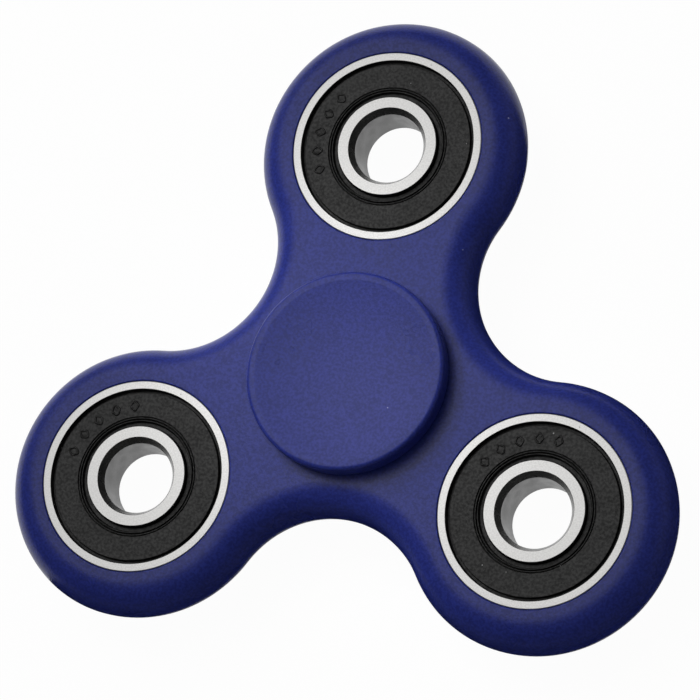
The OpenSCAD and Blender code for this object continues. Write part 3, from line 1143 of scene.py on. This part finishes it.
@dataclass
class BallBearing:
    """The visible pieces of a ball bearing in a lobe: two rings and two seals."""

    layout: Layout
    lobe: int
    finishes: FinishSet
    rubber: bpy.types.Material
    marks_start: float
    outer_land: float = 1.0 * MM
    inner_land: float = 1.8 * MM
    bevel_w: float = 0.5 * MM
    bevel_h: float = 1.0 * MM
    edge_break: float = 0.1 * MM
    pitch_r: float = 7.5 * MM
    ball_r: float = 1.9845 * MM
    race_ratio: float = 1.04
    race_depth: float = 0.3
    race_gap: float = 0.04 * MM
    seal_t: float = 0.6 * MM
    seal_sink: float = 0.22 * MM
    bead_t: float = 0.36 * MM
    bead_gap: float = 0.03 * MM
    snap_depth: float = 0.25 * MM
    lip_gap: float = 0.08 * MM
    lip_w: float = 0.22 * MM
    ridges: int = 2
    ridge_pitch: float = 0.29 * MM
    rim_w: float = 0.62 * MM
    groove: float = 0.34 * MM
    trench: float = 0.5 * MM
    dip: float = 0.02 * MM
    relief: float = 0.06 * MM

    GROUND, TURNED, BORE, BEVEL = range(4)
    RACE_STEPS = 16
    TINY = 0.04 * MM

    def __post_init__(self) -> None:
        """Works out the heights and radii that several pieces share."""
        self.name = f"arm{self.lobe}"
        self.centre = self.layout.station(self.lobe)
        self.end = self.layout.ring_half
        self.mouth_r = self.layout.ring_r - self.outer_land
        self.nose_r = self.layout.bore_r + self.inner_land
        self.run = self.ball_r + self.race_gap
        self.seal_top = self.end - self.seal_sink
        self.seal_base = self.seal_top - self.seal_t
        self.snap_top = self.seal_base + self.bead_t

    def _race(self, outer: bool) -> list[Corner]:
        """The raceway's arc.

        Args:
            outer: Whether it is the outer ring's, which opens towards the axis.

        Returns:
            Its corners from the front end to the back end on the inner ring, and back on the outer.
        """
        radius = self.race_ratio * self.ball_r
        sign = 1 if outer else -1
        centre_r = self.pitch_r + sign * (self.run - radius)
        shoulder = self.pitch_r + sign * (self.run - self.race_depth * self.ball_r)
        lean = math.degrees(math.acos(abs(shoulder - centre_r) / radius))
        if outer:
            return arc_corners((centre_r, 0.0), radius, lean, -lean, self.RACE_STEPS, self.TURNED)
        return arc_corners((centre_r, 0.0), radius, 180 + lean, 180 - lean, self.RACE_STEPS, self.TURNED)

    def outer_section(self) -> Section:
        """The outer ring's section: raceway, seal grooves and ground end faces."""
        outer_r, tiny = self.layout.ring_r, self.TINY
        snap_r = self.mouth_r + self.snap_depth
        race = self._race(True)
        shoulder = race[0].r
        upper = [
            Corner(outer_r, self.end, 1.4 * self.edge_break, self.GROUND),
            Corner(self.mouth_r, self.end, self.edge_break, self.TURNED),
            Corner(self.mouth_r, self.snap_top, tiny, self.TURNED),
            Corner(snap_r, self.snap_top, tiny, self.TURNED),
            Corner(snap_r, self.seal_base, tiny, self.TURNED),
            Corner(shoulder, self.seal_base, tiny, self.TURNED),
        ]
        lower = [Corner(c.r, -c.z, c.fillet, self.TURNED) for c in reversed(upper)]
        lower[-2] = Corner(self.mouth_r, -self.end, self.edge_break, self.GROUND)
        lower[-1] = Corner(outer_r, -self.end, 1.4 * self.edge_break, self.GROUND)
        return Section(upper + race + lower)

    def inner_section(self) -> Section:
        """The inner ring's section: raceway, nose under each seal's lip, bevelled and honed bore."""
        bore, tiny = self.layout.bore_r, self.TINY
        race = self._race(False)
        shoulder, step = race[0].r, self.seal_base - self.lip_gap
        bevel_r, bevel_z = bore + self.bevel_w, self.end - self.bevel_h
        upper = [
            Corner(shoulder, step, tiny, self.TURNED),
            Corner(self.nose_r, step, tiny, self.TURNED),
            Corner(self.nose_r, self.end - self.edge_break, tiny, self.TURNED),
            Corner(self.nose_r - self.edge_break, self.end, tiny / 2, self.GROUND),
            Corner(bevel_r, self.end, tiny, self.BEVEL),
            Corner(bore, bevel_z, tiny, self.BORE),
        ]
        lower = [
            Corner(bore, -bevel_z, tiny, self.BEVEL),
            Corner(bevel_r, -self.end, tiny, self.GROUND),
            Corner(self.nose_r - self.edge_break, -self.end, tiny / 2, self.TURNED),
            Corner(self.nose_r, -self.end + self.edge_break, tiny, self.TURNED),
            Corner(self.nose_r, -step, tiny, self.TURNED),
            Corner(shoulder, -step, tiny, self.TURNED),
        ]
        return Section(upper + lower + race[::-1])

    def seal_section(self) -> Section:
        """The front seal's section: bead, stepped rim, flat face, fine ridges and thin lip."""
        lip_r = self.nose_r + self.lip_gap
        fold_r = lip_r + self.lip_w
        rim_r = self.mouth_r - self.rim_w
        bead_r = self.mouth_r + self.snap_depth - self.bead_gap
        shoulder = self._race(True)[0].r
        crest, trough = self.seal_top - self.dip, self.seal_top - self.groove
        trench, ridge_r = self.seal_top - self.trench, fold_r + self.lip_w
        shelf, floor = self.snap_top - self.dip, self.seal_base + self.relief
        tiny, soft = 0.02 * MM, 0.05 * MM
        corners = [
            Corner(lip_r, floor + self.relief, soft),
            Corner(fold_r, floor, soft),
            Corner(shoulder - self.relief, floor, tiny),
            Corner(shoulder, self.seal_base, tiny),
            Corner(bead_r, self.seal_base, tiny),
            Corner(bead_r, shelf, tiny),
        ]
        steps = ((0.98, shelf), (0.94, trench), (0.46, trench), (0.38, self.seal_top))
        corners += [Corner(rim_r + share * self.rim_w, height, soft) for share, height in steps]
        corners.append(Corner(ridge_r + self.ridges * self.ridge_pitch + self.dip, self.seal_top, soft))
        for ridge in reversed(range(self.ridges)):
            for share, height in ((0.875, trough), (0.625, crest), (0.25, crest), (0.0, trough)):
                corners.append(Corner(ridge_r + (ridge + share) * self.ridge_pitch, height, soft))
        corners.append(Corner(ridge_r - self.relief, trench + self.relief, soft))
        corners.append(Corner(lip_r, trench + self.relief, soft))
        return Section(corners)

    def build(self) -> None:
        """Builds the bearing's rings, seals and marks."""
        kit = self.finishes
        steels = [steel.material(f"_{self.name}", self.centre)
                  for steel in (kit.ground, kit.turned, kit.honed, kit.bevel)]
        self._add_ring("outer_ring", self.outer_section(), "rotor", steels)
        self._add_ring("inner_ring", self.inner_section(), f"{self.name}_inner", steels)
        for side in Side:
            self._add_seal(side)

    def _add_ring(self, ring: str, section: Section, body: str, steels: Sequence[bpy.types.Material]) -> None:
        """Adds a ring.

        Args:
            ring: Which ring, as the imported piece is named.
            section: Its half section.
            body: The body that it rides on.
            steels: Its ground, turned, honed and bevelled steel.
        """
        piece = PieceMesh()
        piece.revolve(section, self.centre)
        made = piece.to_object(f"{self.name}_ground_{ring}", steels)
        place_piece(made, body, Slot.BEARING, f"{self.name}_{ring}")

    def _add_seal(self, side: Side) -> None:
        """Adds the seal on one side, with its row of marks."""
        piece = PieceMesh()
        piece.revolve(self.seal_section(), self.centre, side)
        made = piece.to_object(f"{self.name}_{side.word}_moulded_seal", [self.rubber])
        place_piece(made, "rotor", Slot.SEAL, f"{self.name}_{side.word}_seal")
        name, height = f"{self.name}_{side.word}_seal_marks", side * self.seal_top
        marks = SealMarks(self.marks_start).build(name, self.centre, height, self.rubber)
        place_piece(marks, "rotor", Slot.SEAL)


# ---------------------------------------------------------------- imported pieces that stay


@dataclass
class HiddenWorks:
    """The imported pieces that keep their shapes: the centre bearing, cages, rivets and balls."""

    nodes: dict[str, bpy.types.Object]
    finishes: FinishSet
    rubber: bpy.types.Material

    def dress(self) -> None:
        """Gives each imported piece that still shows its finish."""
        kit = self.finishes
        sheet = kit.sheet.material()
        by_ending = {
            "_ring": kit.ground.material("_centre", Vector((0, 0))),
            "_seal": self.rubber,
            "_cage_front": sheet,
            "_cage_back": sheet,
            "_cage_rivets": sheet,
            "_ball": kit.ball.material(),
        }
        dressed = 0
        for name, node in self.nodes.items():
            if node.hide_render:
                continue
            stem = name.rstrip("0123456789").rstrip("_")
            for ending, finish in by_ending.items():
                if stem.endswith(ending):
                    for slot in node.material_slots:
                        slot.material = finish
                    dressed += 1
        log.info("%d packed pieces keep their shapes and are dressed", dressed)


# ---------------------------------------------------------------- the studio


def hold_lamp(name: str, lamp: bpy.types.Light, azimuth: float, tilt: float,
              distance: float) -> bpy.types.Object:
    """Hangs a lamp so that it points at the spinner's middle.

    Args:
        name: The lamp's name.
        lamp: The lamp.
        azimuth: Direction of the lamp, in degrees from +X.
        tilt: Its angle from straight above.
        distance: How far away it hangs.

    Returns:
        The lamp's object.
    """
    holder = bpy.data.objects.new(name, lamp)
    bpy.context.scene.collection.objects.link(holder)
    turn = Matrix.Rotation(math.radians(azimuth), 4, "Z") @ Matrix.Rotation(math.radians(tilt), 4, "Y")
    holder.matrix_world = turn @ Matrix.Translation((0, 0, distance))
    holder.visible_camera = False
    log.info("lamp %s", name)
    return holder


@dataclass(frozen=True)
class Softbox:
    """A rectangular lamp, aimed at the spinner.

    Attributes:
        name: The lamp's name.
        azimuth: Direction of the lamp's middle, in degrees from +X.
        tilt: Its angle from straight above.
        height: Its length away from the zenith.
        width: Its length across.
        radiance: How bright its face is, where 1 is white.
        glossy: Whether it shows in gloss, and if not, it only lights.
        distance: How far away it hangs.
    """

    name: str
    azimuth: float
    tilt: float
    height: float
    width: float
    radiance: float
    glossy: bool
    distance: float = 0.6

    def build(self) -> None:
        """Adds the lamp to the scene."""
        lamp = bpy.data.lights.new(self.name, "AREA")
        lamp.shape = "RECTANGLE"
        lamp.size, lamp.size_y = self.height, self.width
        lamp.energy = self.radiance * math.pi * self.width * self.height
        holder = hold_lamp(self.name, lamp, self.azimuth, self.tilt, self.distance)
        holder.visible_glossy = self.glossy
        holder.visible_diffuse = not self.glossy


@dataclass(frozen=True)
class Spotlight:
    """A narrow soft lamp that lifts the middle of the spinner.

    Attributes:
        name: The lamp's name.
        azimuth: Direction of the lamp, in degrees from +X.
        tilt: Its angle from straight above.
        reach: Radius at the spinner where its light ends.
        irradiance: How much it lights the middle, where pi shows a colour as written.
        radius: Radius of the lamp itself.
        distance: How far away it hangs.
    """

    name: str
    azimuth: float
    tilt: float
    reach: float
    irradiance: float
    radius: float = 0.012
    distance: float = 0.25

    def build(self) -> None:
        """Adds the lamp to the scene."""
        lamp = bpy.data.lights.new(self.name, "SPOT")
        lamp.spot_size = 2 * math.atan(self.reach / self.distance)
        lamp.spot_blend = 1.0
        lamp.shadow_soft_size = self.radius
        lamp.energy = self.irradiance * 4 * math.pi * self.distance ** 2 / math.cos(math.radians(self.tilt))
        hold_lamp(self.name, lamp, self.azimuth, self.tilt, self.distance).visible_glossy = False


@dataclass(frozen=True)
class Studio:
    """The pale floor, the soft lamps, the surroundings and the camera."""

    floor_z: float
    outline: Sequence[Vector]
    floor_size: float = 6.0
    floor_color: float = 0.9
    floor_glow: float = 0.97
    ambient: float = 0.2
    ceiling: float = 0.03
    fill: float = 0.3
    fill_azimuth: float = 30.0
    card_azimuths: tuple[float, float] = (-145.0, 62.0)
    card_reach: float = 0.4
    card_lift: float = 0.05 * MM
    room_edge: tuple[float, float] = (0.6, 0.95)
    lens: float = 260.32
    sensor: float = 36.0
    camera_azimuth: float = 53.888
    camera_tilt: float = 22.777
    camera_roll: float = -47.158
    camera_distance: float = 0.56572
    aim: tuple[float, float] = (-1.73 * MM, 3.83 * MM)

    LAMPS = (
        Softbox("key_softbox", azimuth=135.0, tilt=44.0, height=0.9, width=0.4, radiance=2.7, glossy=False),
        Softbox("sheen_softbox", azimuth=135.0, tilt=26.0, height=0.75, width=0.46, radiance=0.9,
                glossy=True),
        Softbox("centre_sheen", azimuth=144.0, tilt=22.8, height=0.03, width=0.03, radiance=2.0,
                glossy=True, distance=0.14),
        Spotlight("left_centre_spot", azimuth=155.0, tilt=36.0, reach=0.03, irradiance=0.45),
        Spotlight("middle_centre_spot", azimuth=140.0, tilt=48.0, reach=0.03, irradiance=0.45),
        Spotlight("right_centre_spot", azimuth=122.0, tilt=36.0, reach=0.03, irradiance=0.45),
    )

    def build(self) -> None:
        """Builds the studio."""
        self._floor()
        self._dark_card()
        self._world()
        self._camera()
        for lamp in self.LAMPS:
            lamp.build()

    def _seen(self, bench: Bench, *kinds: str) -> Socket:
        """Gives 1 where a ray is of one of the kinds of Light Path's outputs."""
        path = bench.add("ShaderNodeLightPath")
        share = path.outputs[kinds[0]]
        for kind in kinds[1:]:
            share = bench.math("MAXIMUM", share, path.outputs[kind])
        return share

    def _stage_piece(self, name: str, corners: Sequence[Sequence[float]],
                     faces: Sequence[Sequence[int]]) -> tuple[bpy.types.Object, bpy.types.Material]:
        """Adds a flat piece of the studio.

        Args:
            name: Its name.
            corners: Its points.
            faces: Its faces.

        Returns:
            The piece and its material, which has nodes.
        """
        mesh = bpy.data.meshes.new(name)
        mesh.from_pydata(corners, [], faces)
        piece = bpy.data.objects.new(name, mesh)
        bpy.context.scene.collection.objects.link(piece)
        material = bpy.data.materials.new(f"studio_{name}")
        material.use_nodes = True
        mesh.materials.append(material)
        return piece, material

    def _floor(self) -> None:
        """Builds the floor: white to the eye and in reflections, and it keeps the shadow."""
        half = self.floor_size / 2
        corners = [(-half, -half, self.floor_z), (half, -half, self.floor_z), (half, half, self.floor_z),
                   (-half, half, self.floor_z)]
        _, material = self._stage_piece("floor", corners, [(0, 1, 2, 3)])
        bench = Bench(material.node_tree)
        natural = material.node_tree.nodes["Principled BSDF"]
        natural.inputs["Base Color"].default_value = (*[self.floor_color] * 3, 1.0)
        natural.inputs["Roughness"].default_value = 0.9
        natural.inputs["Specular IOR Level"].default_value = 0.0
        glow = bench.add("ShaderNodeEmission")
        shown = self._seen(bench, "Is Camera Ray", "Is Glossy Ray", "Is Transmission Ray")
        share = bench.math("MULTIPLY", shown, self.floor_glow)
        blend = bench.add("ShaderNodeMixShader", {0: share, 1: natural.outputs[0], 2: glow.outputs[0]})
        bench.feed(material.node_tree.nodes["Material Output"].inputs["Surface"], blend.outputs[0])

    def _dark_card(self) -> None:
        """Lays a black card round the side away from the lamps, which only gloss sees: painted shade of the
        floor in the spinner's reflections.
        """
        low, high = (math.radians(a) for a in self.card_azimuths)
        near = [p for p in self.outline if low <= math.atan2(p.y, p.x) <= high]
        near.sort(key=lambda p: math.atan2(p.y, p.x))
        far = [p.normalized() * self.card_reach for p in near]
        height = self.floor_z + self.card_lift
        corners = [(p.x, p.y, height) for p in near + far]
        count = len(near)
        faces = [(i, i + count, i + count + 1, i + 1) for i in range(count - 1)]
        card, material = self._stage_piece("dark_card", corners, faces)
        shader = material.node_tree.nodes["Principled BSDF"]
        shader.inputs["Base Color"].default_value = (0.0, 0.0, 0.0, 1.0)
        shader.inputs["Specular IOR Level"].default_value = 0.0
        # Seen only in gloss, the card paints the floor's shade into reflections.
        card.visible_camera = card.visible_diffuse = card.visible_shadow = card.visible_transmission = False

    def _world(self) -> None:
        """Builds the surroundings: white to the eye, grey light, and a dim room in gloss."""
        world = bpy.data.worlds.new("studio")
        bpy.context.scene.world = world
        world.use_nodes = True
        bench = Bench(world.node_tree)
        ambient = world.node_tree.nodes["Background"]
        ambient.inputs["Color"].default_value = (1.0, 1.0, 1.0, 1.0)
        ambient.inputs["Strength"].default_value = self.ambient
        away = bench.add("ShaderNodeTexCoord").outputs["Generated"]
        angle = math.radians(self.fill_azimuth)
        toward = bench.vector("DOT_PRODUCT", {0: away, 1: (math.cos(angle), math.sin(angle), 0.0)}, "Value")
        room = bench.remap(toward, *self.room_edge, self.ceiling, self.fill)
        mirrored = bench.add("ShaderNodeBackground", {"Strength": room})
        white = bench.add("ShaderNodeBackground", {"Strength": 1.0})
        for part in (mirrored, white):
            part.inputs["Color"].default_value = (1.0, 1.0, 1.0, 1.0)
        in_gloss = self._seen(bench, "Is Glossy Ray")
        lit = bench.add("ShaderNodeMixShader", {0: in_gloss, 1: ambient.outputs[0], 2: mirrored.outputs[0]})
        direct = self._seen(bench, "Is Camera Ray", "Is Transmission Ray")
        seen = bench.add("ShaderNodeMixShader", {0: direct, 1: lit.outputs[0], 2: white.outputs[0]})
        bench.feed(world.node_tree.nodes["World Output"].inputs["Surface"], seen.outputs[0])

    def _camera(self) -> None:
        """Places the camera."""
        data = bpy.data.cameras.new("camera")
        data.lens, data.sensor_width = self.lens, self.sensor
        data.clip_start, data.clip_end = 0.01, 20.0
        camera = bpy.data.objects.new("camera", data)
        bpy.context.scene.collection.objects.link(camera)
        turn = (Matrix.Rotation(math.radians(self.camera_azimuth), 4, "Z")
                @ Matrix.Rotation(math.radians(self.camera_tilt), 4, "X")
                @ Matrix.Rotation(math.radians(self.camera_roll), 4, "Z"))
        aim = Matrix.Translation((*self.aim, 0.0))
        camera.matrix_world = aim @ turn @ Matrix.Translation((0, 0, self.camera_distance))
        bpy.context.scene.camera = camera


def main() -> None:
    """Builds the spinner and its studio."""
    logging.basicConfig(level=logging.INFO, format="%(name)s: %(message)s")
    bpy.context.scene.view_settings.view_transform = "Standard"
    layout = Layout.measured()
    finishes = FinishSet()
    plastic, rubber = finishes.plastic.material(), finishes.rubber.material()
    spinner_frame = SpinnerFrame(layout, plastic)
    spinner_frame.build()
    for side in Side:
        FingerCap(layout, side, plastic).build()
    for lobe, marks_start in enumerate(MARKS_STARTS, 1):
        BallBearing(layout, lobe, finishes, rubber, marks_start=marks_start).build()
    HiddenWorks(frame["nodes"], finishes, rubber).dress()
    rim = [p + n * spinner_frame.edge_r for p, n in spinner_frame.outline()]
    Studio(-layout.cap_top, rim).build()


if __name__ == "__main__":
    main()
